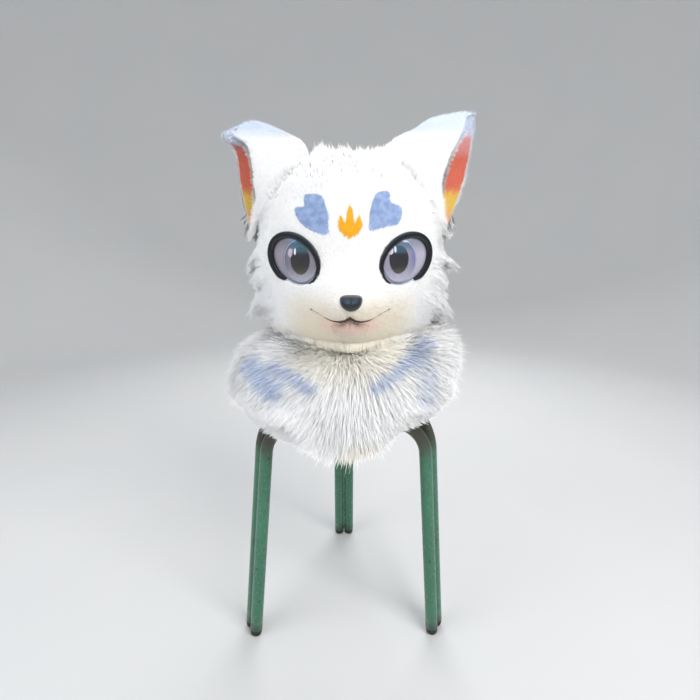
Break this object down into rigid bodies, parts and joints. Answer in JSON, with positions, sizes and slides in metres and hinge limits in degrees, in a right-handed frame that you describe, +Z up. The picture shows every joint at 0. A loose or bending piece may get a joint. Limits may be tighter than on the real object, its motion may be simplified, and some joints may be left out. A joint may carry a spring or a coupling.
{
  "type": "fursuit head with fur bib on a three-legged tube stool",
  "caption": "Hollow foam fursuit head with white fur, upright ears, glossy eyes and a fur neck bib, standing on a round three-legged tube stool.",
  "frame": {"origin": "on the floor under the middle of the whole object", "axes": "+Z up, the face looks along -Y, +X is on the viewer's right from the front"},
  "size_m": [0.421, 0.3949, 0.913],
  "materials": {
    "foam": "open cell upholstery foam",
    "white_fur": "clipped short white pile",
    "long_fur": "long white pile",
    "bib_fur": "long white pile with pale blue marks",
    "blue_fur": "clipped dusty blue pile",
    "gold_fur": "short gold pile",
    "ear_lining": "coral short pile shaded to yellow",
    "eye_rim": "gloss black",
    "eye_white": "clear coated lilac grey print",
    "iris": "clear coated grey lavender print",
    "pupil": "clear coated dark print",
    "nose": "gloss black casting",
    "mouth": "dark felt",
    "lip": "short pink pile",
    "cloth": "knitted fur backing",
    "paint": "worn green gloss enamel",
    "seat": "worn green enamel",
    "rubber": "dull black"
  },
  "bodies": {
    "root": {"foam_neck": "foam", "foam_jaw": "foam", "foam_nape": "foam", "foam_face": "foam", "foam_back": "foam", "foam_crown": "foam", "face_fur": "white_fur", "cheek_fur_left": "long_fur", "cheek_fur_right": "long_fur", "crown_fur": "long_fur", "eye_rim_left": "eye_rim", "eye_rim_right": "eye_rim", "eye_white_left": "eye_white", "eye_white_right": "eye_white", "iris_left": "iris", "iris_right": "iris", "pupil_left": "pupil", "pupil_right": "pupil", "nose": "nose", "mouth_lining": "mouth", "lower_lip": "lip", "brow_patch_left": "blue_fur", "brow_patch_right": "blue_fur", "forehead_mark": "gold_fur", "ear_left": "long_fur", "ear_right": "long_fur", "ear_lining_left": "ear_lining", "ear_lining_right": "ear_lining", "bib_cloth": "cloth", "bib_fur": "bib_fur", "seat": "seat", "tube_front": "paint", "tube_left": "paint", "tube_right": "paint", "foot_left_front": "rubber", "foot_left_left": "rubber", "foot_right_front": "rubber", "foot_right_right": "rubber", "foot_back_left": "rubber", "foot_back_right": "rubber"}
  },
  "joints": []
}
